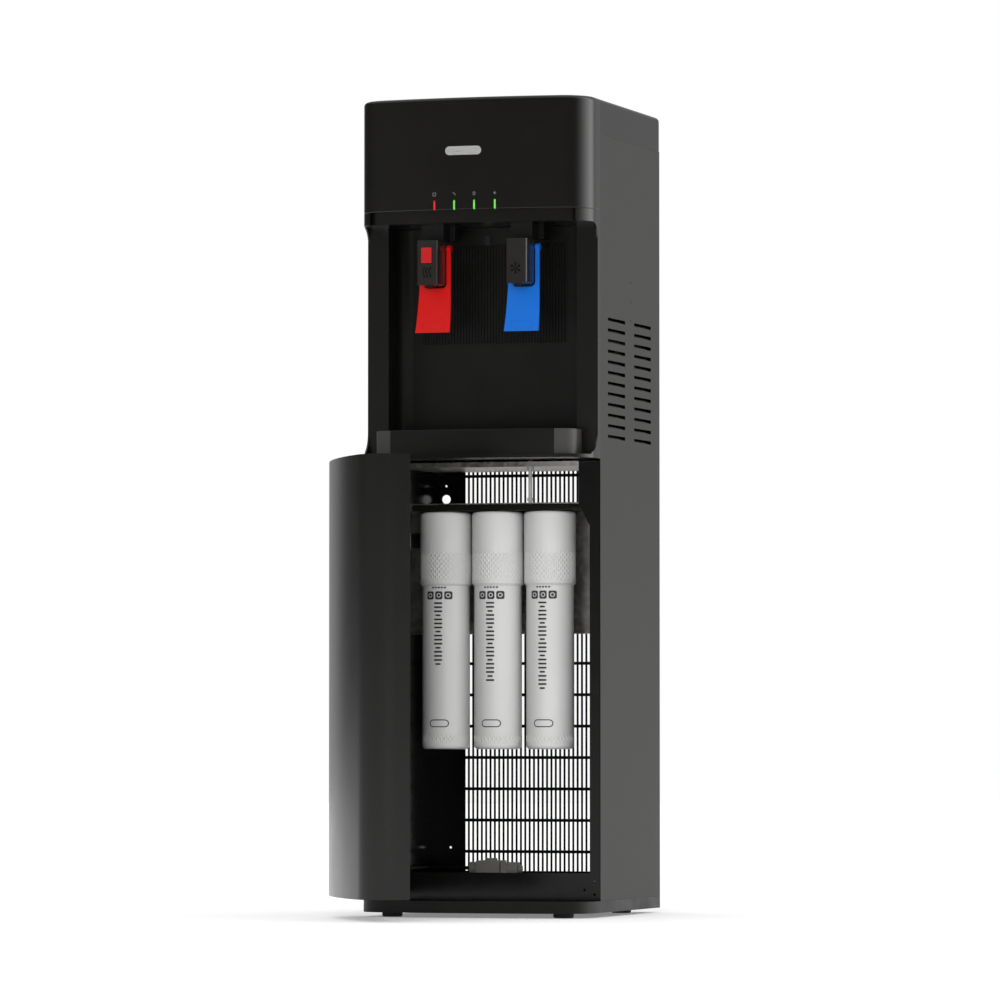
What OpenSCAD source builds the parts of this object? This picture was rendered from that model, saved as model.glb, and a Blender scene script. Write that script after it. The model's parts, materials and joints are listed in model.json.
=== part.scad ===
// Floor-standing bottleless water dispenser with a filter bay behind a bowed door.
// Millimetres. x is to the right, y to the back, z up from the floor.
// x = 0 is the middle of the cabinet and y = 0 is the front edge of its side sheets.

/* [Cabinet] */
// Width over the side sheets
body_w = 308; // [298:0.1:370]
// Depth of the side sheets
body_d = 268; // [262:1:300]
// Height from the floor to the top
total_h = 1040; // [1010:1:1250]
// How far the front plastics stand ahead of the side sheets
front_d = 70; // [68:1:78]
// Rise of the bow across the front
front_bow = 15; // [8:1:20]
// Plan radius of the two front corners
corner_r = 42; // [32:1:46]
// Thickness of the folded sheet
sheet_t = 1.2; // [0.8:0.1:1.6]
// Wall of the moulded plastics
wall_t = 2.8; // [2.2:0.1:3.4]

/* [Base] */
// Height of the glide feet
foot_h = 6; // [4:1:12]
// Diameter of the glide feet
foot_dia = 26; // [20:1:32]
// Height of the base moulding
base_h = 15; // [12:1:20]

/* [Dispensing recess] */
// Height of the recess between lip and ceiling
recess_h = 295; // [285:1:320]
// Distance from the cabinet front edge to the back wall of the recess
recess_d = 40; // [34:1:48]
// Width of one column beside the recess
column_w = 28; // [24:1:32]
// How far the columns stand ahead of the side sheets
column_d = 11; // [8:1:14]
// Thickness of the lip under the tray
lip_h = 4.5; // [3.5:0.5:6]
// Height of the inset band under the display housing
band_h = 16; // [14:1:20]
// Height of the display housing
housing_h = 143; // [130:1:150]

/* [Taps] */
// Distance between the two taps
tap_pitch = 118.6; // [98.8:0.2:126]
// Width of a tap body
tap_w = 29; // [24:1:30]
// Height of a tap body
tap_h = 57; // [50:1:60]
// Width of a lever at its lower edge
lever_w = 46; // [44:1:50]
// Width of a lever at its pin
lever_top_w = 41.6; // [40:0.2:44]
// Height of a lever below its pin
lever_h = 107.5; // [101:0.5:113]
// Thickness of a lever
lever_t = 2.5; // [2:0.1:3]

/* [Drip tray] */
// Height of the tray
tray_h = 32; // [28:1:36]
// Ledge of the lip that shows ahead of the tray
tray_ledge = 8; // [6:1:14]
// How far the front of the tray stands past the recess on each side
tray_flare = 8.5; // [0:0.5:12]
// Slots in the tray grille
grille_slots = 21; // [11:2:25]

/* [Door] */
// Angle at which the door stands open
door_open = 62; // [0:1:100]
// Gap under the door
door_gap = 6.5; // [6.5:0.5:10]
// Radius of the door knuckles
knuckle_r = 3; // [2.8:0.1:3]
// Radius of the hinge pins
hinge_pin_r = 1.5; // [1.2:0.1:1.6]

/* [Filters] */
// Number of filter cartridges
filters = 3; // [3]
// Distance between neighbouring cartridges
filter_pitch = 70; // [69:1:84]
// Diameter of the grip head of a cartridge
head_dia = 66.6; // [62:0.2:67]
// Height of the grip head
head_h = 92; // [80:1:100]
// Diameter of the cartridge body
filter_dia = 61; // [54:1:61]
// Height of the cartridge body below the head
filter_body_h = 212; // [190:1:230]

/* [Hidden] */
$fn = 64;
eps = 0.01;

// Radial clearance of a pin in its bore
pin_gap = 0.1;

// Levels
base_z = foot_h;
bay_z = base_z + base_h;
housing_z = total_h - housing_h;
band_z = housing_z - band_h;
recess_z = band_z - recess_h;
lip_z = recess_z - lip_h;
shelf_top = lip_z - 2.5;
floor_top = bay_z + 24.2;
cap_z = total_h - 45;
grille_top = lip_z + 8;

// Half widths and planes
half_w = body_w / 2;
in_x = half_w - sheet_t;
recess_x = half_w - column_w;
window_x = half_w - 14.4;
gusset_x = half_w - 29;
back_out = body_d - 0.4;
back_in = back_out - sheet_t;

// Taps
tap_x = tap_pitch / 2;
tap_front = -58;
tap_back = -17;
tap_top = band_z - 21;
pin_y = -20;
pin_z = tap_top - 9;
lever_y = -22;
lever_bend_z = tap_top - 45;
lever_reach = lever_bend_z - (pin_z - lever_h);
lever_kick = 11.5;
lever_r = (lever_reach * lever_reach + lever_kick * lever_kick) / (2 * lever_kick);
lever_pin_r = 1.5;
lever_notch = tap_w / 2 + 0.8;
button_w = 14;
button_h = 20;
button_z = tap_top - 19.3;
pocket_gap = 0.35;

// Radius of the upright corners at the back of the recess
liner_r = 18;

// Tray
tray_x = recess_x - 1;
tray_back = recess_d - 3;
tray_front = -front_d + tray_ledge;
tray_z = recess_z + 0.3;
tray_t = 2.4;

// Door
door_z = bay_z + door_gap;
door_top = lip_z - 3;
door_back = -2;
pivot = [-half_w - 0.5, -knuckle_r - 0.5];
knuckle_h = 38;
knuckle_gap = 0.3;
hinge_t = 1.6;

// Filters
filter_y = 55;
filter_top = shelf_top - 62;
neck_r = 12;
collar_r = 15.7;
collar_flange_r = 20;
socket_r = 16;
manifold_z = filter_top + 1;
manifold_h = 8;
bracket_y = 95;
bracket_h = 163;
tube_r = 2.5;

// Back equipment
grille_pitch = 6;
grille_slot = 3.4;
grille_x0 = 39 + sheet_t;
grille_count = floor((body_w - 2 * grille_x0 - 0.1) / grille_pitch) + 1;
rail_pitch = 41.2;
inlet_z = grille_top + 40;
foot_x = half_w - 40;
foot_front = -30;
foot_rear = body_d - 44;
foot_points = [[-foot_x, foot_front], [foot_x, foot_front], [-foot_x, foot_rear], [foot_x, foot_rear]];

// Helpers

module box(x0, x1, y0, y1, z0, z1) {
    translate([x0, y0, z0]) cube([x1 - x0, y1 - y0, z1 - z0]);
}

// Extrudes a (y, z) outline from x0 to x1
module along_x(x0, x1) {
    translate([x0, 0, 0]) rotate([90, 0, 90]) linear_extrude(x1 - x0) children();
}

// Extrudes an (x, z) outline from y0 to y1
module along_y(y0, y1) {
    translate([0, y1, 0]) rotate([90, 0, 0]) linear_extrude(y1 - y0) children();
}

module along_z(z0, z1) {
    translate([0, 0, z0]) linear_extrude(z1 - z0) children();
}

module rod_x(x0, x1, y, z, r) {
    translate([x0, y, z]) rotate([0, 90, 0]) cylinder(h = x1 - x0, r = r);
}

module rod_y(y0, y1, x, z, r) {
    translate([x, y0, z]) rotate([-90, 0, 0]) cylinder(h = y1 - y0, r = r);
}

module rod_z(z0, z1, x, y, r) {
    translate([x, y, z0]) cylinder(h = z1 - z0, r = r);
}

module rect(x0, x1, y0, y1) {
    translate([x0, y0]) square([x1 - x0, y1 - y0]);
}

module both_sides() {
    children();
    mirror([1, 0, 0]) children();
}

function arc(cx, cy, r, a0, a1, n) =
    [for (i = [0 : n]) let (a = a0 + (a1 - a0) * i / n) [cx + r * cos(a), cy + r * sin(a)]];

// Front and two front corners of a bowed plan outline, from right to left
function bowed(w, d, s, rc, inset) =
    let (
        big = (w * w / 4 + s * s) / (2 * s),
        cy = big - d,
        xc = w / 2 - rc,
        yc = cy - sqrt((big - rc) * (big - rc) - xc * xc),
        a = atan2(yc - cy, xc)
    ) concat(
        arc(xc, yc, rc - inset, 0, a, 14),
        arc(0, cy, big - inset, a - 0.7, -179.3 - a, 18),
        arc(-xc, yc, rc - inset, -180 - a, -180, 14)
    );

// Plan of the front plastics, inset all round except at the back
module front_outline(inset, back) {
    polygon(concat(
        [[half_w - inset, back]],
        bowed(body_w, front_d, front_bow, corner_r, inset),
        [[inset - half_w, back]]
    ));
}

// Plan of the tray, inset all round. Its back corners clear those of the recess, and its front
// widens just ahead of the columns.
module tray_outline(inset) {
    back_r = liner_r + 6;
    shoulder_y = -column_d - 1.5 - inset;
    front_x = tray_x + tray_flare;
    polygon(concat(
        arc(tray_x - back_r, tray_back - back_r, back_r - inset, 90, 0, 8),
        [[tray_x - inset, shoulder_y], [front_x - inset, shoulder_y]],
        bowed(2 * front_x, -tray_front, front_bow * 0.8, 20, inset),
        [[inset - front_x, shoulder_y], [inset - tray_x, shoulder_y]],
        arc(back_r - tray_x, tray_back - back_r, back_r - inset, 180, 90, 8)
    ));
}

// Rectangle whose top right corner is round
module corner_rect(x0, x1, y0, y1, r) {
    rect(x0, x1, y0, y1 - r);
    rect(x0, x1 - r, y0, y1);
    translate([x1 - r, y1 - r]) circle(r);
}

// Base

module base_cells() {
    rib = 2.5;
    cell_x = (body_w - 6 - 2 * rib) / 3;
    cell_y = (front_d + body_d - 6 - 3 * rib) / 4;
    difference() {
        intersection() {
            front_outline(3, body_d - 3);
            for (i = [-1 : 1], j = [0 : 3])
                translate([i * (cell_x + rib) - cell_x / 2, -front_d + 3 + j * (cell_y + rib)])
                    square([cell_x, cell_y]);
        }
        for (p = foot_points) translate(p) circle(9);
    }
}

module base_pan() {
    color([0.10, 0.10, 0.10])
    difference() {
        along_z(base_z, bay_z) front_outline(0, body_d);
        along_z(base_z - 1, bay_z - 2.5) base_cells();
        for (p = foot_points) rod_z(base_z - 1, base_z + 10, p[0], p[1], 3.2);
    }
}

module foot(i) {
    color([0.12, 0.12, 0.12]) {
        rod_z(1, foot_h, foot_points[i][0], foot_points[i][1], foot_dia / 2);
        rod_z(0, 1, foot_points[i][0], foot_points[i][1], foot_dia / 2 - 1);
        rod_z(foot_h, foot_h + 9, foot_points[i][0], foot_points[i][1], 3.2);
    }
}

// Cabinet

vent_rows = 12;
vent_pitch = 13.6;
vent_len = 77;
vent_h = 4.4;
vent_z = recess_z + 23;
vent_y = [33.5, 151];

module side_panel() {
    difference() {
        box(in_x, half_w, 0, body_d, bay_z, cap_z);
        for (y = vent_y, k = [0 : vent_rows - 1])
            box(in_x - 1, half_w + 1, y, y + vent_len, vent_z + k * vent_pitch, vent_z + k * vent_pitch + vent_h);
        for (h = [0, 24, 49]) rod_x(in_x - 1, half_w + 1, 135, recess_z + 179 + h, 1.3);
    }
    for (y = vent_y, k = [0 : vent_rows - 1]) louvre(y, vent_z + k * vent_pitch);
}

// Blade pressed in from the lower edge of a slot
module louvre(y, z) {
    translate([0, y + 1 + vent_len - 2, 0]) rotate([90, 0, 0]) linear_extrude(vent_len - 2)
        polygon([[in_x, z - 1.6], [in_x, z - 0.2], [in_x - 3.4, z + vent_h + 1.4], [in_x - 4.4, z + vent_h + 1.4]]);
}

module left_side_panel() {
    color([0.24, 0.24, 0.24]) mirror([1, 0, 0]) side_panel();
}

module right_side_panel() {
    color([0.24, 0.24, 0.24]) side_panel();
}

module front_frame() {
    kick_z = bay_z + 35;
    gusset_z = shelf_top - 56;
    color([0.05, 0.05, 0.05])
    along_y(0, sheet_t) difference() {
        rect(-in_x, in_x, bay_z, shelf_top);
        polygon([
            [-window_x, kick_z], [window_x, kick_z], [window_x, gusset_z - 26],
            [gusset_x, gusset_z], [gusset_x, shelf_top + 1],
            [-gusset_x, shelf_top + 1], [-gusset_x, gusset_z], [-window_x, gusset_z - 26]
        ]);
        both_sides() {
            translate([window_x - 7, bay_z + 13.8]) circle(1.6);
            translate([window_x + 6.4, bay_z + 24.3]) circle(1.6);
            translate([window_x + 6.4, bay_z + 8.1]) circle(1.6);
        }
    }
}

module cabinet_floor() {
    color([0.06, 0.06, 0.06]) box(-in_x, in_x, sheet_t, back_in, floor_top - sheet_t, floor_top);
}

tube_points = [[42, filter_y + 5], [tube_r + 0.8 - in_x, 18.5]];

module divider_shelf() {
    color([0.62, 0.62, 0.60]) difference() {
        union() {
            box(-in_x, in_x, sheet_t, back_in, shelf_top - sheet_t, shelf_top);
            box(-gusset_x, gusset_x, 0, sheet_t, shelf_top - 6.4, shelf_top);
        }
        for (p = tube_points) rod_z(shelf_top - 5, shelf_top + 1, p[0], p[1], tube_r);
    }
}

module back_grille() {
    slot_z0 = bay_z + 31.6;
    keyhole_x = half_w - 14.8;
    color([0.05, 0.05, 0.05])
    along_y(back_in, back_out) difference() {
        rect(-in_x, in_x, bay_z, grille_top);
        for (k = [0 : grille_count - 1])
            translate([(k - (grille_count - 1) / 2) * grille_pitch - grille_slot / 2, slot_z0])
                square([grille_slot, shelf_top + 0.4 - slot_z0]);
        both_sides() {
            translate([keyhole_x, shelf_top - 36.6]) circle(6);
            translate([keyhole_x, shelf_top - 19]) circle(1.5);
            translate([keyhole_x - 6, bay_z + 62]) circle(1.5);
        }
    }
}

// Cross rails behind the slots
module grille_rails() {
    rails = floor((shelf_top - sheet_t - 4 - bay_z - 57) / rail_pitch);
    rail_x = (grille_count - 1) / 2 * grille_pitch + 4;
    color([0.05, 0.05, 0.05])
    for (k = [0 : rails])
        box(-rail_x, rail_x, back_in - 1.4, back_in, bay_z + 55 + k * rail_pitch, bay_z + 59 + k * rail_pitch);
}

inlet_x = -95;
socket_x = 90;
bezel_x = 20;

module upper_back_panel() {
    color([0.20, 0.20, 0.20])
    along_y(back_in, back_out) difference() {
        rect(-in_x, in_x, grille_top, cap_z);
        for (k = [0 : 9]) translate([-60, recess_z + 150 + k * 14]) square([120, 4]);
        translate([inlet_x, inlet_z]) circle(8);
        rect(socket_x - 23, socket_x + 23, inlet_z - 12, inlet_z + 12);
        rect(bezel_x - 17.5, bezel_x + 17.5, inlet_z - 11.5, inlet_z + 11.5);
    }
}

module top_cover() {
    cap_x = half_w - 0.3;
    side_r = 5;
    color([0.08, 0.08, 0.08])
    difference() {
        intersection() {
            along_x(-cap_x, cap_x) corner_rect(0, body_d - 0.6, cap_z, total_h, 8);
            along_y(-1, body_d) {
                corner_rect(0, cap_x, cap_z, total_h, side_r);
                mirror([1, 0]) corner_rect(0, cap_x, cap_z, total_h, side_r);
            }
        }
        box(-cap_x + wall_t, cap_x - wall_t, -1, body_d - 0.6 - wall_t, cap_z - 1, total_h - wall_t);
    }
}

// Display housing

led_x = [-45.4, -18.7, 8, 35.3];
led_w = 2.6;
led_h = 12;
led_z = housing_z;

module display_housing() {
    color([0.03, 0.03, 0.03])
    difference() {
        along_z(housing_z, total_h) front_outline(0, 0);
        along_z(housing_z - 1, total_h - wall_t) front_outline(wall_t, 1);
        for (x = led_x) box(x - led_w / 2, x + led_w / 2, -front_d - 1, -front_d + 8, led_z - 1, led_z + led_h);
    }
}

module indicator_lights() {
    color([0.30, 0.85, 0.20])
    intersection() {
        along_z(led_z, led_z + led_h) difference() {
            front_outline(0, 0);
            front_outline(wall_t + 1, 1);
        }
        for (x = led_x) box(x - led_w / 2, x + led_w / 2, -front_d - 1, -front_d + 9, led_z, led_z + led_h);
    }
}

// Blank plate, slightly proud of the front
module front_badge() {
    badge_w = 48;
    badge_h = 11;
    badge_x = -6.5;
    badge_z = housing_z + 75;
    color([0.75, 0.75, 0.75])
    intersection() {
        along_z(housing_z, total_h) difference() {
            front_outline(-0.6, 0);
            front_outline(0, 1);
        }
        along_y(-front_d - 2, -front_d + 6) translate([badge_x, badge_z]) {
            square([badge_w - badge_h, badge_h], center = true);
            for (s = [-1, 1]) translate([s * (badge_w - badge_h) / 2, 0]) circle(badge_h / 2);
        }
    }
}

// Recess

cheek_x = half_w - 2;

// Side view of what is cut away ahead of a column
module column_cut() {
    top_r = 20;
    low_r = 32;
    rect(-front_d - 1, -column_d - low_r, recess_z, band_z);
    rect(-column_d - low_r - eps, -column_d, recess_z + low_r, band_z - top_r);
    difference() {
        rect(-column_d - low_r - eps, -column_d, recess_z, recess_z + low_r + eps);
        difference() {
            rect(-column_d - low_r, -column_d + 1, recess_z - 1, recess_z + low_r);
            translate([-column_d - low_r, recess_z + low_r]) circle(low_r);
        }
    }
    difference() {
        rect(-column_d - low_r - eps, -column_d, band_z - top_r - eps, band_z);
        difference() {
            rect(-column_d - top_r, -column_d + 1, band_z - top_r, band_z + 1);
            translate([-column_d - top_r, band_z - top_r]) circle(top_r);
        }
    }
}

// Block that carries the band out to the corner of the front
module band_end() {
    intersection() {
        along_z(band_z, housing_z) front_outline(0, 0);
        box(half_w - 17, cheek_x + 1, -front_d, 0, band_z, housing_z);
    }
}

module recess_frame() {
    color([0.04, 0.04, 0.04]) {
        difference() {
            union() {
                along_z(lip_z, recess_z) front_outline(0, 0);
                along_z(band_z, housing_z) front_outline(5, 0);
                both_sides() box(recess_x, cheek_x + 1, -column_d, 0, recess_z - 1, band_z + 1);
                both_sides() band_end();
            }
            along_z(band_z + wall_t, housing_z + 1) front_outline(5 + wall_t, 1);
        }
        both_sides() difference() {
            intersection() {
                along_z(lip_z, housing_z) front_outline(0, 0);
                box(cheek_x, half_w, -front_d, 0, lip_z, housing_z);
            }
            along_x(cheek_x - 1, half_w + 1) column_cut();
        }
    }
}

// Back and side walls of the recess with round vertical corners, its floor and its ceiling
module recess_liner() {
    color([0.04, 0.04, 0.04]) {
        along_z(recess_z, band_z) difference() {
            rect(-recess_x - wall_t, recess_x + wall_t, 0, recess_d + wall_t);
            rect(-recess_x, recess_x, -1, recess_d - liner_r);
            rect(-recess_x + liner_r, recess_x - liner_r, -1, recess_d);
            both_sides() translate([recess_x - liner_r, recess_d - liner_r]) circle(liner_r);
        }
        for (z = [recess_z - wall_t, band_z])
            box(-recess_x - wall_t, recess_x + wall_t, 0, recess_d + wall_t, z, z + wall_t);
    }
}

module fluted_panel() {
    rib_pitch = 4;
    rib_d = 1.4;
    ribs = 24;
    panel_y = recess_d - 1;
    color([0.03, 0.03, 0.03])
    along_z(band_z - 148, band_z - 22) polygon(concat(
        [[-ribs * rib_pitch, recess_d], [-ribs * rib_pitch, panel_y]],
        [for (k = [-ribs : ribs - 1], p = [[0.8, 0], [1.4, rib_d], [2.6, rib_d], [3.2, 0]])
            [k * rib_pitch + p[0], panel_y - p[1]]],
        [[ribs * rib_pitch, panel_y], [ribs * rib_pitch, recess_d]]
    ));
}

module night_light() {
    color([0.15, 0.16, 0.18])
    along_y(recess_d - 4, recess_d) translate([-8, band_z - 13]) {
        circle(4);
        rect(-4, 4, -5, 0);
        translate([0, -5]) circle(4);
    }
}

// Taps, drawn around x = 0

module tap_mount() {
    box(-lever_w / 2 + 1, lever_w / 2 - 1, -9, 12, band_z - 19, band_z);
    box(-tap_w / 2, tap_w / 2, pin_y - 13, -9 + eps, tap_top, band_z);
}

// Bar whose two lower corners are round
module round_foot(w, low, high, r) {
    rect(-w / 2, w / 2, low + r, high);
    rect(-w / 2 + r, w / 2 - r, low, high);
    for (s = [-1, 1]) translate([s * (w / 2 - r), low + r]) circle(r);
}

module tap_shell() {
    difference() {
        intersection() {
            along_z(tap_top - tap_h, tap_top) round_foot(tap_w, tap_front, tap_back, 6.5);
            along_y(tap_front - 1, tap_back + 1) round_foot(tap_w, tap_top - tap_h, tap_top, 4);
        }
        rod_x(-tap_w, tap_w, pin_y, pin_z, lever_pin_r);
    }
}

// Nozzle ring under a tap
module spout() {
    drop = 2;
    low = tap_top - tap_h - drop;
    difference() {
        rod_z(low, low + drop, 0, tap_front + 10, 5);
        rod_z(low - 1, low + drop - 0.6, 0, tap_front + 10, 3.2);
    }
}

module lever_pin() {
    rod_x(-lever_top_w / 2, lever_top_w / 2, pin_y, pin_z, lever_pin_r);
}

// Side shape of a lever over its full width
module lever_blank(half_t, low_z, hub_r) {
    along_x(-lever_w / 2, lever_w / 2) {
        rect(lever_y - half_t, lever_y + half_t, lever_bend_z, pin_z);
        intersection() {
            difference() {
                translate([lever_y - lever_r, lever_bend_z]) circle(lever_r + half_t, $fn = 256);
                translate([lever_y - lever_r, lever_bend_z]) circle(lever_r - half_t, $fn = 256);
            }
            rect(lever_y - lever_kick - 5, lever_y + 5, low_z, lever_bend_z);
        }
    }
    rod_x(-lever_w / 2, lever_w / 2, pin_y, pin_z, hub_r);
}

// Fork whose arms straddle the tap, over a paddle that sweeps forward
module lever() {
    half_t = lever_t / 2;
    low_z = pin_z - lever_h;
    hub_r = 4.5;
    notch_z = tap_top - tap_h - 2.5;
    difference() {
        intersection() {
            along_y(lever_y - 20, lever_y + 20) polygon([
                [-lever_w / 2, low_z - 1], [lever_w / 2, low_z - 1],
                [lever_top_w / 2, notch_z], [lever_top_w / 2, pin_z + 10],
                [-lever_top_w / 2, pin_z + 10], [-lever_top_w / 2, notch_z]
            ]);
            lever_blank(half_t, low_z, hub_r);
        }
        along_y(lever_y - 20, lever_y + 20) {
            rect(-lever_notch, lever_notch, notch_z + 6, pin_z + 10);
            rect(-lever_notch + 6, lever_notch - 6, notch_z, notch_z + 7);
            for (s = [-1, 1]) translate([s * (lever_notch - 6), notch_z + 6]) circle(6);
        }
        rod_x(-lever_w, lever_w, pin_y, pin_z, lever_pin_r + pin_gap);
    }
}

module at_hot() {
    translate([-tap_x, 0, 0]) children();
}

module at_cold() {
    translate([tap_x, 0, 0]) children();
}

module hot_tap_mount() {
    color([0.05, 0.05, 0.05]) at_hot() tap_mount();
}

module cold_tap_mount() {
    color([0.05, 0.05, 0.05]) at_cold() tap_mount();
}

module hot_tap_body() {
    color([0.13, 0.13, 0.13]) at_hot() difference() {
        tap_shell();
        box(-button_w / 2 - pocket_gap, button_w / 2 + pocket_gap, tap_front - 1, tap_front + 6,
            button_z - button_h / 2 - pocket_gap, button_z + button_h / 2 + pocket_gap);
    }
}

module cold_tap_body() {
    color([0.13, 0.13, 0.13]) at_cold() tap_shell();
}

module hot_spout() {
    color([0.08, 0.08, 0.08]) at_hot() spout();
}

module cold_spout() {
    color([0.08, 0.08, 0.08]) at_cold() spout();
}

module hot_lever() {
    color([0.80, 0.03, 0.03]) at_hot() lever();
}

module cold_lever() {
    color([0.04, 0.25, 0.80]) at_cold() lever();
}

module hot_lever_pin() {
    color([0.70, 0.70, 0.70]) at_hot() lever_pin();
}

module cold_lever_pin() {
    color([0.70, 0.70, 0.70]) at_cold() lever_pin();
}

module child_lock_button() {
    color([0.85, 0.05, 0.05]) at_hot()
        box(-button_w / 2, button_w / 2, tap_front - 1.5, tap_front + 2.5, button_z - button_h / 2, button_z + button_h / 2);
}

// Drip tray

module drip_tray() {
    post_z = tray_z + tray_h - 6.3;
    color([0.05, 0.05, 0.05]) {
        difference() {
            along_z(tray_z, tray_z + tray_h) tray_outline(0);
            along_z(tray_z + tray_t, tray_z + tray_h + 1) tray_outline(tray_t);
        }
        for (x = [-tray_x * 0.75, tray_x * 0.75], y = [tray_front + 30, tray_back - 14])
            rod_z(tray_z + tray_t - eps, post_z, x, y, 4);
    }
}

module drip_grille() {
    grille_z = tray_z + tray_h - 6;
    slot_w = 3.6;
    slot_step = (2 * tray_x - 40) / (grille_slots - 1);
    color([0.10, 0.10, 0.10])
    along_z(grille_z, grille_z + 3) difference() {
        tray_outline(tray_t + 0.4);
        for (k = [0 : grille_slots - 1])
            translate([(k - (grille_slots - 1) / 2) * slot_step - slot_w / 2, tray_front + 24])
                square([slot_w, tray_back - tray_front - 38]);
    }
}

// Door, drawn closed and then swung about its pivot

module swung() {
    translate([pivot[0], pivot[1], 0]) rotate([0, 0, -door_open]) translate([-pivot[0], -pivot[1], 0]) children();
}

module door() {
    color([0.05, 0.05, 0.05]) swung() difference() {
        union() {
            difference() {
                along_z(door_z, door_top) front_outline(0, door_back);
                along_z(door_z + wall_t, door_top - wall_t) front_outline(wall_t, door_back + 1);
            }
            rod_z(door_z - knuckle_gap, door_z + knuckle_h, pivot[0], pivot[1], knuckle_r);
            rod_z(door_top - knuckle_h, door_top, pivot[0], pivot[1], knuckle_r);
        }
        rod_z(door_z - 1, door_z + knuckle_h + 1, pivot[0], pivot[1], hinge_pin_r + pin_gap);
        rod_z(door_top - knuckle_h - 1, door_top + 1, pivot[0], pivot[1], hinge_pin_r + pin_gap);
    }
}

module door_magnet() {
    magnet_z = (door_z + door_top) / 2;
    color([0.25, 0.25, 0.26]) swung()
        box(half_w - wall_t - 7, half_w - wall_t, door_back - 10, door_back - 0.5, magnet_z - 22, magnet_z + 22);
}

module latch_plate() {
    magnet_z = (door_z + door_top) / 2;
    color([0.08, 0.08, 0.08]) box(window_x + 1, in_x - 0.5, -0.8, 0, magnet_z - 18, magnet_z + 18);
}

module hinge_leaf() {
    rect(pivot[0] - knuckle_r, window_x * -1, pivot[1] - 0.1, 0);
    translate(pivot) circle(knuckle_r);
}

module hinge_top() {
    color([0.60, 0.60, 0.60]) {
        along_z(shelf_top, shelf_top + hinge_t) {
            hinge_leaf();
            rect(-in_x, -window_x, -0.5, 14);
        }
        rod_z(door_top - knuckle_h + 6, shelf_top + eps, pivot[0], pivot[1], hinge_pin_r);
    }
}

module hinge_bottom() {
    leaf_z = door_z - knuckle_gap - 0.6 - hinge_t;
    color([0.60, 0.60, 0.60]) {
        along_z(leaf_z, leaf_z + hinge_t) hinge_leaf();
        rod_z(leaf_z + hinge_t - eps, door_z + knuckle_h - 6, pivot[0], pivot[1], hinge_pin_r);
    }
}

// Filters

function station(i) = (i - 2) * filter_pitch;

module filter_bracket() {
    color([0.30, 0.30, 0.29]) difference() {
        union() {
            box(-in_x, in_x, bracket_y, bracket_y + 1.5, filter_top - 156, manifold_z + manifold_h + 1.5);
            box(-window_x, window_x, 22, bracket_y + 1, manifold_z + manifold_h, manifold_z + manifold_h + 1.5);
        }
        for (s = [-1, 1]) {
            box(s * 122 - 10, s * 122 + 10, bracket_y - 1, bracket_y + 3, filter_top - 44, filter_top - 25);
            rod_y(bracket_y - 1, bracket_y + 3, s * 142, filter_top - 60, 2.5);
            rod_y(bracket_y - 1, bracket_y + 3, s * 142, filter_top - 130, 2.5);
        }
        rod_z(manifold_z, manifold_z + manifold_h + 5, tube_points[0][0], tube_points[0][1], tube_r);
    }
}

module manifold() {
    color([0.08, 0.08, 0.08]) difference() {
        box(-filter_pitch - 36, filter_pitch + 36, 24, 88, manifold_z, manifold_z + manifold_h);
        for (i = [1 : filters])
            rod_z(manifold_z - 1, manifold_z + 5.3, station(i), filter_y, socket_r);
    }
}

module collar(i) {
    color([0.85, 0.85, 0.84]) translate([station(i), filter_y, filter_top]) rotate_extrude()
        polygon([
            [neck_r + 0.3, -3.5], [collar_flange_r, -3.5], [collar_flange_r, 0.5],
            [collar_r, 0.5], [collar_r, 5.8], [neck_r + 0.3, 5.8]
        ]);
}

module cartridge(i) {
    head_r = head_dia / 2;
    body_r = filter_dia / 2;
    low = -head_h - filter_body_h;
    color([0.93, 0.93, 0.92]) translate([station(i), filter_y, filter_top]) rotate_extrude()
        polygon(concat(
            [[0, low], [body_r - 5, low]],
            arc(body_r - 5, low + 5, 5, -90, 0, 6),
            [[body_r, -head_h - 2], [head_r, -head_h]],
            arc(head_r - 4, -4, 4, 0, 90, 6),
            [[collar_flange_r + 0.5, 0], [collar_flange_r + 0.5, -3.9], [neck_r, -3.9], [neck_r, 5], [0, 5]]
        ));
}

valve_y = 220;

module inlet_valve() {
    color([0.35, 0.35, 0.35]) {
        box(-78, -46, valve_y - 16, valve_y + 16, floor_top, floor_top + 22);
        box(-46 - eps, -38, valve_y - 9, valve_y + 9, floor_top, floor_top + 19);
        rod_x(-90, -77, valve_y, floor_top + 12, 8);
        rod_x(-38 - eps, -24, valve_y, floor_top + 11, 9);
        rod_x(-24 - eps, -20, valve_y, floor_top + 11, 5);
        rod_z(floor_top + 21, floor_top + 25, -62, valve_y, 8);
    }
}

// Tube from the manifold through the shelf, with a push-fit fitting at each end
module outlet_tube() {
    p = tube_points[0];
    low = manifold_z + manifold_h;
    color([0.80, 0.80, 0.78]) {
        rod_z(low, shelf_top + 20, p[0], p[1], tube_r);
        rod_z(low + 5, low + 9, p[0], p[1], 4);
        rod_z(shelf_top - 8, shelf_top - sheet_t, p[0], p[1], 4);
    }
}

module supply_tube() {
    p = tube_points[1];
    color([0.10, 0.10, 0.10]) {
        rod_z(floor_top + 12, shelf_top + 20, p[0], p[1], tube_r);
        rod_z(shelf_top - 10, shelf_top - sheet_t, p[0], p[1], tube_r + 0.5);
        rod_y(p[1], valve_y, p[0], floor_top + 12, tube_r);
        rod_x(p[0], -90, valve_y, floor_top + 12, tube_r);
        for (y = [p[1], valve_y]) translate([p[0], y, floor_top + 12]) sphere(tube_r + 0.5);
    }
}

// Cooling and heating

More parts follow.
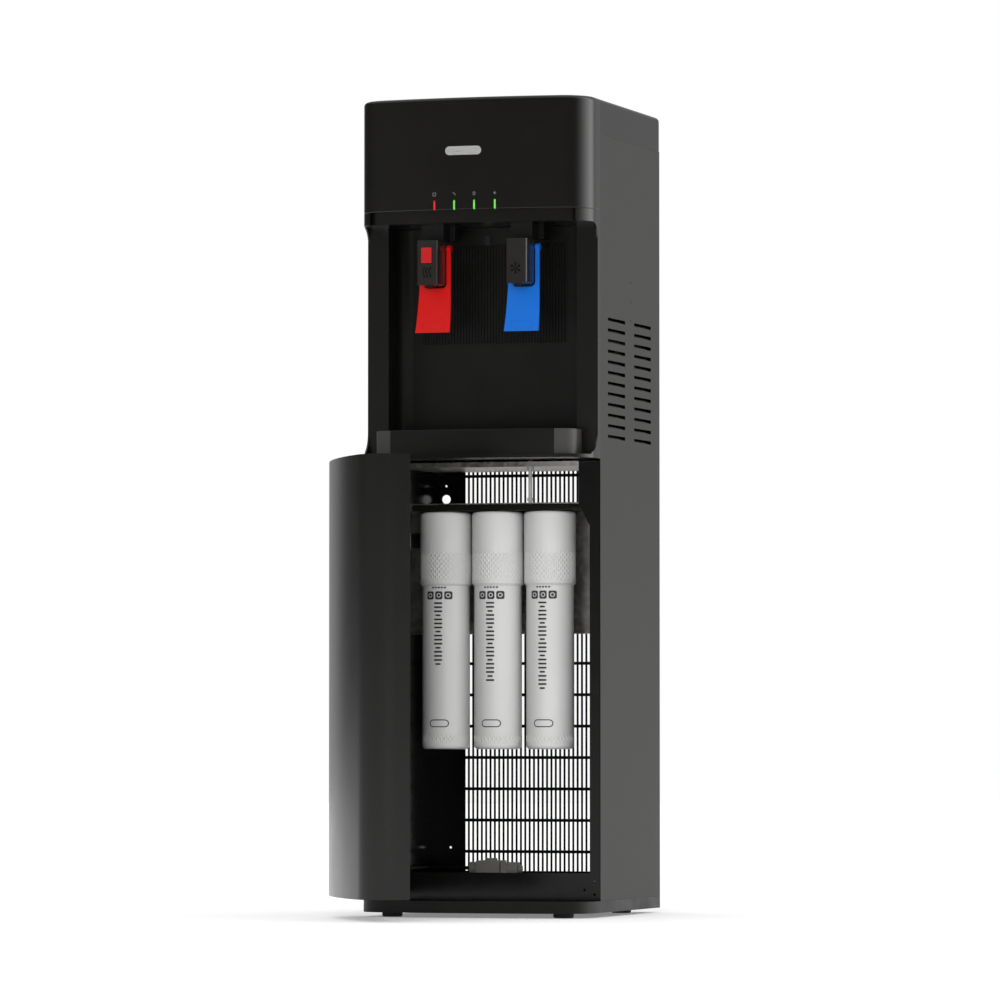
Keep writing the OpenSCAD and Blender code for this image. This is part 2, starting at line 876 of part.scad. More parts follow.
module compressor() {
    color([0.10, 0.10, 0.11]) translate([-60, 150, shelf_top]) {
        rotate_extrude() polygon(concat(
            [[0, 8], [52, 8], [52, 90]],
            arc(32, 90, 20, 0, 90, 6),
            [[0, 110]]
        ));
        for (a = [45 : 90 : 315]) translate([46 * cos(a), 46 * sin(a), 0]) cylinder(h = 9, r = 9);
    }
}

module condenser() {
    color([0.08, 0.08, 0.08]) {
        for (k = [0 : 9]) rod_x(-112, 112, 248, recess_z + 165 + k * 22, 2.5);
        both_sides() box(111, 114, 244, back_in, recess_z + 155, recess_z + 375);
    }
}

module hot_tank() {
    color([0.75, 0.75, 0.76]) translate([92, 140, shelf_top]) {
        cylinder(h = 31, r = 30);
        translate([0, 0, 30]) cylinder(h = 120, r = 42);
    }
}

module tank_bracket() {
    color([0.60, 0.60, 0.60]) box(-in_x, in_x, 52, 214, recess_z + 154, recess_z + 155.5);
}

module cold_tank() {
    color([0.90, 0.90, 0.88]) translate([0, 130, recess_z + 155.5]) {
        cylinder(h = 150, r = 72);
        translate([0, 0, 149]) cylinder(h = 16, r = 20);
    }
}

module control_board() {
    board_y = -front_d + 12;
    color([0.05, 0.30, 0.12]) {
        box(-70, 70, board_y, board_y + 1.6, housing_z + 22, housing_z + 90);
        intersection() {
            along_z(housing_z, total_h) front_outline(wall_t, 0);
            for (x = [-64, 64], z = [housing_z + 28, housing_z + 84]) rod_y(-front_d, board_y + eps, x, z, 3);
        }
        for (x = [-40, 0, 38]) box(x - 9, x + 9, board_y + 1.6 - eps, board_y + 12, housing_z + 40, housing_z + 62);
    }
}

// Back connections

module power_inlet() {
    pocket_x = 14;
    color([0.06, 0.06, 0.06]) difference() {
        union() {
            box(socket_x - 23, socket_x + 23, back_in - 20, back_out, inlet_z - 12, inlet_z + 12);
            box(socket_x - 26, socket_x + 26, back_out, back_out + 2.5, inlet_z - 15, inlet_z + 15);
        }
        difference() {
            box(socket_x - pocket_x, socket_x + pocket_x, back_out - 14, back_out + 3, inlet_z - 9, inlet_z + 9);
            for (x = [-8, 0, 8])
                box(socket_x + x - 2, socket_x + x + 2, back_out - 15, back_out - 1, inlet_z - 1, inlet_z + 1);
        }
    }
}

module switch_bezel() {
    color([0.06, 0.06, 0.06]) difference() {
        union() {
            box(bezel_x - 17.5, bezel_x + 17.5, back_in - 12, back_out, inlet_z - 11.5, inlet_z + 11.5);
            box(bezel_x - 20, bezel_x + 20, back_out, back_out + 2, inlet_z - 14, inlet_z + 14);
        }
        box(bezel_x - 8, bezel_x + 8, back_in - 13, back_out + 3, inlet_z - 10, inlet_z + 10);
    }
}

// Rocker that stands tipped to its off side
module hot_switch() {
    color([0.75, 0.05, 0.05])
    translate([0, back_out - 1.5, inlet_z]) rotate([-8, 0, 0]) along_x(bezel_x - 7.5, bezel_x + 7.5) {
        circle(4);
        polygon([[0, -8.6], [4.4, -8.6], [2.8, 0], [4.4, 8.6], [0, 8.6]]);
    }
}

module water_inlet() {
    color([0.85, 0.85, 0.83]) difference() {
        union() {
            rod_y(back_in - 16, back_out + 12, inlet_x, inlet_z, 8);
            translate([inlet_x, back_out, inlet_z]) rotate([-90, 0, 0]) cylinder(h = 5, r = 12.5, $fn = 6);
        }
        rod_y(back_in - 6, back_out + 13, inlet_x, inlet_z, 3.2);
    }
}

base_pan();
foot(0);  // foot_front_left
foot(1);  // foot_front_right
foot(2);  // foot_rear_left
foot(3);  // foot_rear_right
left_side_panel();
right_side_panel();
front_frame();
cabinet_floor();
divider_shelf();
back_grille();
grille_rails();
upper_back_panel();
top_cover();
display_housing();
indicator_lights();
front_badge();
recess_frame();
recess_liner();
fluted_panel();
night_light();
hot_tap_mount();
cold_tap_mount();
hot_tap_body();
cold_tap_body();
hot_spout();
cold_spout();
hot_lever();
cold_lever();
hot_lever_pin();
cold_lever_pin();
child_lock_button();
drip_tray();
drip_grille();
door();
hinge_top();
hinge_bottom();
door_magnet();
latch_plate();
filter_bracket();
manifold();
collar(1);  // collar_1
collar(2);  // collar_2
collar(3);  // collar_3
cartridge(1);  // cartridge_1
cartridge(2);  // cartridge_2
cartridge(3);  // cartridge_3
inlet_valve();
supply_tube();
outlet_tube();
compressor();
condenser();
hot_tank();
cold_tank();
tank_bracket();
control_board();
power_inlet();
switch_bezel();
hot_switch();
water_inlet();
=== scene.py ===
"""Looks of a floor-standing water dispenser: materials, detail pieces, light and camera round the
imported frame."""
import functools
import json
import math

import bmesh
import bpy
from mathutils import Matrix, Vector
from mathutils.bvhtree import BVHTree

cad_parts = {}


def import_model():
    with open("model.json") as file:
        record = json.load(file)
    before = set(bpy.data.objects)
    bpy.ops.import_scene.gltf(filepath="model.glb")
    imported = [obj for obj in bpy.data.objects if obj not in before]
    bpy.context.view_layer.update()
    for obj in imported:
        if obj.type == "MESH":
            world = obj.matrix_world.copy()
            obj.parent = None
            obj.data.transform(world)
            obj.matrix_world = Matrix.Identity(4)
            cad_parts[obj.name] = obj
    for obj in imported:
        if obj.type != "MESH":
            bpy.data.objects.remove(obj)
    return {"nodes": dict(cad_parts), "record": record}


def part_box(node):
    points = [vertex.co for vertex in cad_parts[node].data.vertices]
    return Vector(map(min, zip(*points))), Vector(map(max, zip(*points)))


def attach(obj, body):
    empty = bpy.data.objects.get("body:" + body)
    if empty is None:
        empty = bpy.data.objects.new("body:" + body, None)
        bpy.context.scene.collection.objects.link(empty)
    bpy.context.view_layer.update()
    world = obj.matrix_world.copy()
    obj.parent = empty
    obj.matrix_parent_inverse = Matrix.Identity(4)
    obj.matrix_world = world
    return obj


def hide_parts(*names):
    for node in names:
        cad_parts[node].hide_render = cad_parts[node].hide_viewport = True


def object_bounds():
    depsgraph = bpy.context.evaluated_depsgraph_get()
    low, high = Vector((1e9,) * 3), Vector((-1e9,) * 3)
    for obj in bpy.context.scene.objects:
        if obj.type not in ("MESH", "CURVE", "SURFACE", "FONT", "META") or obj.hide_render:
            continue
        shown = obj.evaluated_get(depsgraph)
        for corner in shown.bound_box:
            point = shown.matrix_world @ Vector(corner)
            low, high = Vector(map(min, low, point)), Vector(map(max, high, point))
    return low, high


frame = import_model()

CAD_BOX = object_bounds()
MM = 0.001
BODY_OF = {
    node: body
    for body, nodes in frame["record"]["behaviour"]["bodies"].items()
    for node in nodes
}
SLOT_OF = {part["node"]: part["material_slot"] for part in frame["record"]["subparts"]}
# The Mix node's two colour sockets, which share their names with its other kinds of socket
MIX_FIRST, MIX_SECOND = 6, 7
# Edges that turn by more degrees than this count as edges, to be kept and rounded
SHARP_ANGLE = 32
# Degrees and metres under which a CAD node's faces and corners are one
FLAT_ANGLE = 0.4
WELD_GAP = 4e-6
# Rays that look for a surface start this far in front of it or behind it
RAY_FROM = 1.0


# ---------------------------------------------------------------- node helpers


class Shader:
    """One procedural material: a Principled surface with its pattern in object space."""

    def __init__(self, name, **constants):
        self.material = bpy.data.materials.new(name)
        self.material.use_nodes = True
        self.tree = self.material.node_tree
        self.surface = self.tree.nodes["Principled BSDF"]
        for socket, value in constants.items():
            self.surface.inputs[socket.replace("_", " ")].default_value = value
        self.place = self.tree.nodes.new("ShaderNodeTexCoord").outputs["Object"]

    def node(self, kind, inputs=None, **properties):
        """A node of this kind, with its properties set and its inputs set or linked."""
        made = self.tree.nodes.new("ShaderNode" + kind)
        for name, value in properties.items():
            setattr(made, name, value)
        for name, value in (inputs or {}).items():
            if isinstance(value, bpy.types.NodeSocket):
                self.tree.links.new(value, made.inputs[name])
            else:
                made.inputs[name].default_value = value
        return made

    def noise(self, scale, detail=3.0, stretch=(1, 1, 1)):
        """Noise with `scale` features a metre, drawn out along an axis where stretch is under 1."""
        mapped = self.node("Mapping", {"Vector": self.place, "Scale": stretch})
        made = self.node(
            "TexNoise", {"Vector": mapped.outputs["Vector"], "Scale": scale, "Detail": detail}
        )
        return made.outputs["Fac"]

    def cells(self, scale):
        """A random tone for each cell of a broken-up surface."""
        made = self.node("TexVoronoi", {"Vector": self.place, "Scale": scale})
        return made.outputs["Color"]

    def ramp(self, value, low, high, start=0.3, end=0.7):
        """Colours from low to high as value goes from start to end."""
        made = self.node("ValToRGB", {"Fac": value})
        for element, at, colour in zip(made.color_ramp.elements, (start, end), (low, high)):
            element.position = at
            element.color = (*colour, 1)
        return made.outputs["Color"]

    def span(self, value, low, high, start=0.3, end=0.7):
        """Numbers from low to high as value goes from start to end."""
        made = self.node(
            "MapRange",
            {"Value": value, "From Min": start, "From Max": end, "To Min": low, "To Max": high},
        )
        return made.outputs["Result"]

    def outward(self, start, end):
        """From 0 to 1 as the distance from the plane x = 0 goes from start to end."""
        across = self.node("SeparateXYZ", {"Vector": self.place}).outputs["X"]
        out = self.node("Math", {0: across}, operation="ABSOLUTE").outputs["Value"]
        return self.span(out, 0.0, 1.0, start, end)

    def blend(self, part, first, second):
        """The first colour where part is 0, and the second where it is 1."""
        inputs = {"Factor": part, MIX_FIRST: first, MIX_SECOND: second}
        return self.node("Mix", inputs, data_type="RGBA").outputs[2]

    def colour(self, socket):
        """Feeds the surface's colour."""
        self.tree.links.new(socket, self.surface.inputs["Base Color"])
        return self

    def roughness(self, socket):
        """Feeds the surface's roughness."""
        self.tree.links.new(socket, self.surface.inputs["Roughness"])
        return self

    def bump(self, *layers):
        """Each layer is (height, depth in metres); they add up."""
        normal = None
        for height, depth in layers:
            inputs = {"Height": height, "Distance": depth, "Strength": 1.0}
            if normal:
                inputs["Normal"] = normal
            normal = self.node("Bump", inputs).outputs["Normal"]
        self.tree.links.new(normal, self.surface.inputs["Normal"])
        return self


def shade(colour, spread):
    """A darker and a lighter neighbour of a colour."""
    return [[max(0.0, c * (1 + s * spread)) for c in colour] for s in (-1, 1)]


# ------------------------------------------------------------------- materials


def plastic(name, colour, rough, spread=0.12, grain=0.0, peel=0.00002, smudge=0.2, **constants):
    """Moulded plastic: faint flow marks in the colour, orange peel, and grain where it is satin."""
    made = Shader(name, **constants)
    flow = made.noise(9.0, 4.0)
    made.colour(made.ramp(flow, *shade(colour, spread)))
    made.roughness(made.span(made.noise(22.0, 5.0), rough * (1 - smudge), rough * (1 + smudge)))
    layers = [(made.noise(140.0, 1.0), peel)]
    if grain:
        layers.append((made.noise(2600.0, 2.0), grain))
    return made.bump(*layers).material


def powder_coat(name, colour, rough, grain, spread=0.08, **constants):
    """Baked powder paint on sheet: fine pebbled skin and slight drift in tone."""
    made = Shader(name, **constants)
    made.colour(made.ramp(made.noise(6.0, 3.0), *shade(colour, spread)))
    made.roughness(made.span(made.noise(35.0, 4.0), rough * 0.88, rough * 1.12))
    return made.bump(
        (made.noise(900.0, 3.0), grain), (made.noise(45.0, 1.0), grain * 1.6)
    ).material


def side_sheet(name, colour, inner, rough, grain, half_width):
    """Powder coat that is one colour on the outer faces of the side sheets and another inside."""
    made = Shader(name, Specular_IOR_Level=0.22)
    skin = 0.2 * MM
    inner_rough = 0.14
    outside = made.outward(half_width - 2 * skin, half_width - skin)
    tones = [made.ramp(made.noise(3.0, 2.0), *shade(tone, 0.03)) for tone in (inner, colour)]
    made.colour(made.blend(outside, *tones))
    made.roughness(made.span(outside, inner_rough, rough, 0.0, 1.0))
    return made.bump((made.noise(900.0, 3.0), grain)).material


def painted_highlight_ends(name, middle, highlight_tone, rough, start, full):
    """Plastic with a painted highlight: ends painted paler, and made duller. Start and full say how
    far from x = 0 the change runs.
    """
    made = Shader(name)
    duller = 0.25
    end = made.outward(start, full)
    flow = made.noise(9.0, 4.0)
    # The paler tone of the ends is a painted highlight
    tones = [made.ramp(flow, *shade(middle, 0.12)), made.ramp(flow, *shade(highlight_tone, 0.06))]
    made.colour(made.blend(end, *tones))
    made.roughness(made.span(end, rough, rough + duller, 0.0, 1.0))
    return made.bump((made.noise(140.0, 1.0), 0.000003)).material


def brushed(name, colour, rough, along=(0.04, 1, 1), metal=1.0):
    """Rolled or turned metal with fine drawn lines."""
    made = Shader(name, Metallic=metal)
    lines = made.noise(1400.0, 3.0, along)
    made.colour(made.ramp(lines, *shade(colour, 0.1)))
    made.roughness(made.span(lines, rough * 0.75, rough * 1.3))
    return made.bump((lines, 0.000012)).material


def galvanised(name, colour, rough):
    """Zinc-plated sheet with its spangle."""
    made = Shader(name, Metallic=1.0)
    spangle = made.cells(170.0)
    made.colour(made.ramp(spangle, *shade(colour, 0.16), 0.1, 0.9))
    made.roughness(made.span(spangle, rough * 0.75, rough * 1.3, 0.1, 0.9))
    return made.bump((made.noise(500.0, 3.0), 0.00002)).material


def lens(name, colour, glow):
    """Tinted lens over a lamp, with a slightly uneven glow."""
    made = Shader(name, Roughness=0.22, Coat_Weight=0.6)
    made.colour(made.ramp(made.noise(420.0, 2.0), *shade(colour, 0.25)))
    made.surface.inputs["Emission Strength"].default_value = glow
    made.tree.links.new(
        made.ramp(made.noise(260.0, 1.0), *shade(colour, 0.35)),
        made.surface.inputs["Emission Color"],
    )
    return made.bump((made.noise(1500.0, 1.0), 0.00001)).material


def rubber(name, colour):
    """Dull rubber with a fine rough skin."""
    made = Shader(name)
    made.colour(made.ramp(made.noise(60.0, 4.0), *shade(colour, 0.3)))
    made.roughness(made.span(made.noise(200.0, 3.0), 0.65, 0.9))
    return made.bump((made.noise(1800.0, 3.0), 0.00003)).material


def foam(name, colour):
    """Skinned foam: coarse beads under a soft skin."""
    made = Shader(name, Roughness=0.8)
    made.colour(made.ramp(made.noise(30.0, 5.0), *shade(colour, 0.1)))
    return made.bump((made.cells(260.0), 0.0002), (made.noise(700.0, 3.0), 0.00005)).material


MATERIALS = {
    "gloss_black": plastic(
        "gloss_black", (0.0032, 0.0029, 0.0024), 0.24, peel=0.000003, smudge=0.04
    ),
    "satin_black": plastic(
        "satin_black", (0.0030, 0.0028, 0.0024), 0.40, grain=0.00002, Specular_IOR_Level=0.28
    ),
    # The drip tray: black, with painted highlights as paler ends
    "tray_black_painted_highlights": painted_highlight_ends(
        "tray_black_painted_highlights", (0.0026, 0.0024, 0.0020), (0.030, 0.0292, 0.0278), 0.24, 0.109, 0.1095
    ),
    "panel_grey": side_sheet(
        "panel_grey", (0.030, 0.0290, 0.0278), (0.0012, 0.0012, 0.0011), 0.5, 0.00003, CAD_BOX[1][0]
    ),
    "valve_grey": plastic("valve_grey", (0.17, 0.167, 0.16), 0.4, grain=0.00002),
    "frame_black": powder_coat(
        "frame_black", (0.0022, 0.0021, 0.0019), 0.20, 0.00001, Specular_IOR_Level=0.35
    ),
    "zinc_steel": galvanised("zinc_steel", (0.46, 0.45, 0.43), 0.38),
    "pin_steel": brushed("pin_steel", (0.62, 0.62, 0.63), 0.24),
    "tap_charcoal": plastic("tap_charcoal", (0.0125, 0.0115, 0.0105), 0.22, grain=0.000008),
    "lever_red": plastic(
        "lever_red", (0.44, 0.0025, 0.0020), 0.38, 0.08, 0.000006, Specular_IOR_Level=0.22
    ),
    "lever_blue": plastic(
        "lever_blue", (0.0020, 0.110, 0.47), 0.38, 0.08, 0.000006, Specular_IOR_Level=0.22
    ),
    "button_red": plastic("button_red", (0.34, 0.0045, 0.0040), 0.28, 0.08, 0.000006),
    "filter_white": plastic(
        "filter_white", (0.565, 0.565, 0.56), 0.36, 0.03, 0.00001, Coat_Weight=0.15
    ),
    "collar_white": plastic("collar_white", (0.62, 0.62, 0.60), 0.45, 0.04, 0.00002),
    "lamp_green": lens("lamp_green", (0.10, 0.42, 0.045), 0.62),
    "lamp_red": lens("lamp_red", (0.45, 0.012, 0.010), 0.5),
    "lamp_clear": plastic("lamp_clear", (0.012, 0.0125, 0.014), 0.10, Coat_Weight=0.5),
    "badge_silver": brushed("badge_silver", (0.42, 0.42, 0.41), 0.34, metal=0.5),
    "foot_rubber": rubber("foot_rubber", (0.010, 0.0095, 0.009)),
    "tube_white": plastic("tube_white", (0.62, 0.62, 0.58), 0.30, 0.06, Transmission_Weight=0.25),
    "magnet_grey": powder_coat("magnet_grey", (0.045, 0.045, 0.048), 0.5, 0.00003),
    "compressor_black": powder_coat("compressor_black", (0.006, 0.006, 0.0065), 0.28, 0.00002),
    "tank_foam": foam("tank_foam", (0.62, 0.61, 0.56)),
    "tank_steel": brushed("tank_steel", (0.50, 0.50, 0.51), 0.42, (1, 1, 0.05)),
    "board_green": plastic("board_green", (0.010, 0.090, 0.030), 0.35, 0.3, 0.00002),
    "ink": plastic("ink", (0.030, 0.029, 0.029), 0.5, 0.1),
    "pale_ink": plastic("pale_ink", (0.13, 0.13, 0.128), 0.5, 0.1),
    "dark_mark": plastic("dark_mark", (0.0006, 0.0006, 0.0006), 0.6, 0.2, Specular_IOR_Level=0.1),
}


# ------------------------------------------------------------ piece and meshes


def finish(obj, material, body, replaced=()):
    """Gives a new piece its material and slot, and rides it on its body."""
    obj.data.materials.clear()
    obj.data.materials.append(MATERIALS[material])
    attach(obj, body)
    if replaced:
        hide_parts(*replaced)
    return obj


def object_of(name, mesh_maker):
    """Object from a bmesh, which is freed."""
    mesh = bpy.data.meshes.new(name)
    mesh_maker.normal_update()
    mesh_maker.to_mesh(mesh)
    mesh_maker.free()
    obj = bpy.data.objects.new(name, mesh)
    bpy.context.scene.collection.objects.link(obj)
    return obj


def smooth(obj):
    """Smooth shading that keeps the sharp edges."""
    obj.data.shade_smooth()
    obj.data.set_sharp_from_angle(angle=math.radians(SHARP_ANGLE))
    return obj


def bevelled(obj, width, segments=2):
    """Rounds the sharp edges with modifiers, and keeps the faces between them looking flat."""
    bevel = obj.modifiers.new("round", "BEVEL")
    bevel.width = width
    bevel.segments = segments
    bevel.limit_method = "ANGLE"
    bevel.angle_limit = math.radians(SHARP_ANGLE)
    bevel.use_clamp_overlap = True
    weighted = obj.modifiers.new("normals", "WEIGHTED_NORMAL")
    weighted.keep_sharp = True
    weighted.weight = 60
    return obj


def soften(node, width, segments=2):
    """Rounds a CAD node's edges with modifiers, and leaves its own mesh alone."""
    obj = frame["nodes"][node]
    obj.data.shade_smooth()
    weld = obj.modifiers.new("weld", "WELD")
    weld.merge_threshold = WELD_GAP
    flat = obj.modifiers.new("flat", "DECIMATE")
    flat.decimate_type = "DISSOLVE"
    flat.angle_limit = math.radians(FLAT_ANGLE)
    bevelled(obj, width, segments)


def clean_copy(node):
    """A welded bmesh of a CAD node, with its flat faces whole."""
    made = bmesh.new()
    made.from_mesh(frame["nodes"][node].data)
    bmesh.ops.remove_doubles(made, verts=made.verts, dist=WELD_GAP)
    bmesh.ops.dissolve_limit(
        made,
        angle_limit=math.radians(FLAT_ANGLE),
        use_dissolve_boundaries=False,
        verts=made.verts,
        edges=made.edges,
        delimit={"NORMAL"},
    )
    return made


def sharp_edges(made, wanted):
    """Sharp edges whose middle the function wants."""
    limit = math.radians(SHARP_ANGLE)
    return [
        e
        for e in made.edges
        if e.is_manifold
        and e.calc_face_angle(0) > limit
        and wanted((e.verts[0].co + e.verts[1].co) / 2)
    ]


def round_edges(made, edges, width, segments):
    """Rounds these edges in the mesh itself."""
    bmesh.ops.bevel(
        made,
        geom=edges,
        offset=width,
        offset_type="OFFSET",
        segments=segments,
        profile=0.5,
        affect="EDGES",
        clamp_overlap=True,
    )


def reworked(node, name, rounds, fine=0.0004):
    """Stands for a CAD node: its mesh with the chosen edges rounded, and the others by `fine`."""
    made = clean_copy(node)
    for wanted, width, segments in rounds:
        round_edges(made, sharp_edges(made, wanted), width, segments)
    obj = smooth(object_of(name, made))
    finish(obj, SLOT_OF[node], BODY_OF[node], [node])
    bevelled(obj, fine)


# ----------------------------------------------------------------- decal tools


@functools.cache
def surface_of(node):
    """A CAD node's own surface, for rays."""
    mesh = frame["nodes"][node].data
    return BVHTree.FromPolygons(
        [v.co for v in mesh.vertices], [face.vertices for face in mesh.polygons]
    )


def circle(cx, cz, r, n=20):
    """Outline of a circle."""
    return [
        (cx + r * math.cos(2 * math.pi * k / n), cz + r * math.sin(2 * math.pi * k / n))
        for k in range(n)
    ]


def rounded(cx, cz, w, h, r, n=4):
    """Outline of a rectangle with round corners."""
    points = []
    for k, (sx, sz) in enumerate(((1, 1), (-1, 1), (-1, -1), (1, -1))):
        for j in range(n + 1):
            a = math.pi / 2 * (k + j / n)
            points.append(
                (cx + sx * (w / 2 - r) + r * math.cos(a), cz + sz * (h / 2 - r) + r * math.sin(a))
            )
    return points


def stroke(points, width):
    """Outline of a line of even width through the points."""
    left, right = [], []
    for k, (x, z) in enumerate(points):
        x0, z0 = points[max(k - 1, 0)]
        x1, z1 = points[min(k + 1, len(points) - 1)]
        length = math.hypot(x1 - x0, z1 - z0)
        nx, nz = -(z1 - z0) / length * width / 2, (x1 - x0) / length * width / 2
        left.append((x + nx, z + nz))
        right.append((x - nx, z - nz))
    return left + right[::-1]


def decal(name, node, outlines, material, proud=0.00012, sink=0.0002, side=-1):
    """Thin raised marks that follow a CAD node's front, or its back where side is 1.

    Outlines are (x, z) in mm. They are sliced upright before they go onto the surface, so that a
    mark follows a curved one.
    """
    made = bmesh.new()
    for outline in outlines:
        made.faces.new([made.verts.new((x * MM, 0, z * MM)) for x, z in outline])
    step = 1.2 * MM
    low = min(v.co.x for v in made.verts)
    high = max(v.co.x for v in made.verts)
    for k in range(1, int((high - low) / step) + 1):
        everything = made.verts[:] + made.edges[:] + made.faces[:]
        bmesh.ops.bisect_plane(
            made, geom=everything, dist=1e-7, plane_co=(low + k * step, 0, 0), plane_no=(1, 0, 0)
        )
    for vert in made.verts:
        start = Vector((vert.co.x, side * RAY_FROM, vert.co.z))
        found = surface_of(node).ray_cast(start, Vector((0, -side, 0)))[0]
        if not found:
            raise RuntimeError(f"the mark {name} runs off {node}")
        vert.co.y = found.y + side * proud
    grown = bmesh.ops.extrude_face_region(made, geom=made.faces[:], use_keep_orig=True)["geom"]
    for vert in grown:
        if isinstance(vert, bmesh.types.BMVert):
            vert.co.y -= side * (proud + sink)
    bmesh.ops.recalc_face_normals(made, faces=made.faces)
    return finish(object_of(name, made), material, BODY_OF[node])


def ring(outer, inner):
    """Two outlines of equal count joined as the quads of a frame."""
    count = len(outer)
    return [
        [outer[k], outer[(k + 1) % count], inner[(k + 1) % count], inner[k]] for k in range(count)
    ]


# ---------------------------------------------------------------------- pieces


def corners(node):
    """A CAD node's lowest and highest corner, and its middle."""
    low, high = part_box(node)
    return low, high, (low + high) / 2


def display_housing():
    """Front shell with a generous round along its top and a small one under it."""
    low, high, _ = corners("display_housing")
    edge = 0.4 * MM
    front = -1 * MM

    def top(p):
        return p.z > high.z - edge and p.y < front

    def bottom(p):
        return p.z < low.z + edge and p.y < front

    reworked(
        "display_housing",
        "display_shell",
        [(top, 5.0 * MM, 6), (bottom, 0.9 * MM, 3)],
        fine=0.0002,
    )


def turned(name, x, y, rings, count=72):
    """Body turned about an upright axis from rings of (radius, z, cut).

    Rings with a cut make a diamond knurl.
    """
    made = bmesh.new()
    loops = []
    for j, (radius, z, cut) in enumerate(rings):
        loop = []
        for i in range(count):
            r = radius - cut * ((i + j) % 2)
            a = 2 * math.pi * i / count
            loop.append(made.verts.new((x + r * math.cos(a), y + r * math.sin(a), z)))
        loops.append(loop)
    for j, (low, high) in enumerate(zip(loops, loops[1:])):
        knurled = rings[j][2] or rings[j + 1][2]
        for i in range(count):
            k = (i + 1) % count
            if not knurled:
                made.faces.new((low[i], low[k], high[k], high[i])).smooth = True
            elif (i + j) % 2:
                made.faces.new((low[i], low[k], high[k]))
                made.faces.new((low[i], high[k], high[i]))
            else:
                made.faces.new((low[i], low[k], high[i]))
                made.faces.new((low[k], high[k], high[i]))
    made.faces.new(loops[0][::-1])
    made.faces.new(loops[-1])
    obj = object_of(name, made)
    obj.data.set_sharp_from_angle(angle=math.radians(SHARP_ANGLE))
    return obj


def knurl_rings(radius, low, high, cut, rows):
    """Rings of a knurled band, with a plain ring at each end."""
    step = (high - low) / rows
    band = [(radius, low + step * k, cut) for k in range(1, rows)]
    return [(radius, low, 0), *band, (radius, high, 0)]


def arc_rings(radius, z, r, start, end, steps=5):
    """Rings round a fillet of radius r whose centre is at (radius, z)."""
    made = []
    for k in range(steps + 1):
        a = math.radians(start + (end - start) * k / steps)
        made.append((radius + r * math.cos(a), z + r * math.sin(a), 0))
    return made


def cartridge(index):
    """White cartridge: plain shoulder, knurled grip band, slim body with a knurled foot."""
    node = f"cartridge_{index}"
    low, high, centre = corners(node)
    head_r = (high.x - low.x) / 2
    body_r = head_r - 2.8 * MM
    foot_round, top_round = 5 * MM, 4 * MM
    foot_low, foot_high = low.z + 6 * MM, low.z + 21 * MM
    top = high.z - 5 * MM
    grip_low = top - 92 * MM
    grip_high = grip_low + 43 * MM
    cut = 0.95 * MM
    step, step_in = 3.2 * MM, 0.8 * MM
    well_r, well_depth = 20.5 * MM, 3.9 * MM
    neck_r, neck_round = 12 * MM, 0.6 * MM
    rings = [(head_r * 0.5, low.z, 0)]
    rings += arc_rings(body_r - foot_round, low.z + foot_round, foot_round, -90, 0)
    rings += knurl_rings(body_r, foot_low, foot_high, cut, 4)
    rings += [(body_r, grip_low - step, 0), (head_r - step_in, grip_low - step_in, 0)]
    rings += [(head_r, grip_low, 0)]
    rings += knurl_rings(head_r, grip_low + 1.5 * MM, grip_high, cut, 12)
    rings += arc_rings(head_r - top_round, top - top_round, top_round, 0, 90)
    rings += [(well_r, top, 0), (well_r, top - well_depth, 0), (neck_r, top - well_depth, 0)]
    rings += [(neck_r, high.z - neck_round, 0), (neck_r - neck_round, high.z, 0)]
    obj = turned(f"filter_{index}", centre.x, centre.y, rings)
    finish(obj, "filter_white", BODY_OF[node], [node])


def filter_labels():
    """Blank printed labels: a short rule, three tiles, a ladder of bars and an empty badge."""
    rungs = {1: 16, 2: 20, 3: 22}
    pitch = 5.2
    for index, count in rungs.items():
        node = f"cartridge_{index}"
        low, _, centre = corners(node)
        x, z = centre.x / MM, low.z / MM
        rule_z, tile_z, ladder_z, badge_z = z + 207, z + 197, z + 187, z + 33
        tiles = [x + dx for dx in (-12, 0, 12)]
        marks = [rounded(x - 8 + 4 * k, rule_z, 2.9, 2.0, 0.5, 1) for k in range(5)]
        marks += [rounded(tile, tile_z, 9.8, 10.4, 2.2) for tile in tiles]
        for k in range(count):
            width = 11.0 if (k + index) % 4 else 7.0
            marks.append(rounded(x - 1, ladder_z - pitch * k, width, 2.3, 0.5, 1))
        marks += ring(rounded(x, badge_z, 26, 10, 4.9), rounded(x, badge_z, 23.4, 7.4, 3.6))
        decal(f"label_{index}", node, marks, "ink", sink=0.0006)
        rims = []
        for tile in tiles:
            rims += ring(circle(tile, tile_z, 2.9, 12), circle(tile, tile_z, 1.9, 12))
        decal(f"label_icons_{index}", node, rims, "filter_white", proud=0.0002)


# Where the status lamps stand across the housing, in mm
LED_X = (-45.4, -18.7, 8.0, 35.3)


def status_lenses():
    """Four lit lenses over the lower edge of the housing, the first one red."""
    low, high, _ = corners("indicator_lights")
    width, corner_r = 2.2, 0.9
    proud, deep = 0.0001, 0.0035
    middle, height = (low.z + high.z) / 2 / MM, (high.z - low.z) / MM
    for k, x in enumerate(LED_X):
        colour = "lamp_green" if k else "lamp_red"
        made = bmesh.new()
        tops, backs = [], []
        for px, pz in rounded(x, middle, width, height, corner_r):
            start = Vector((px * MM, -RAY_FROM, pz * MM))
            found = surface_of("indicator_lights").ray_cast(start, Vector((0, 1, 0)))[0]
            y = found.y if found else low.y
            tops.append(made.verts.new((px * MM, y - proud, pz * MM)))
            backs.append(made.verts.new((px * MM, y + deep, pz * MM)))
        made.faces.new(tops)
        made.faces.new(backs[::-1])
        for i in range(len(tops)):
            j = (i + 1) % len(tops)
            made.faces.new((tops[i], backs[i], backs[j], tops[j]))
        bmesh.ops.recalc_face_normals(made, faces=made.faces)
        obj = bevelled(smooth(object_of(f"status_lens_{k + 1}", made)), 0.0002)
        finish(obj, colour, BODY_OF["indicator_lights"], ["indicator_lights"])


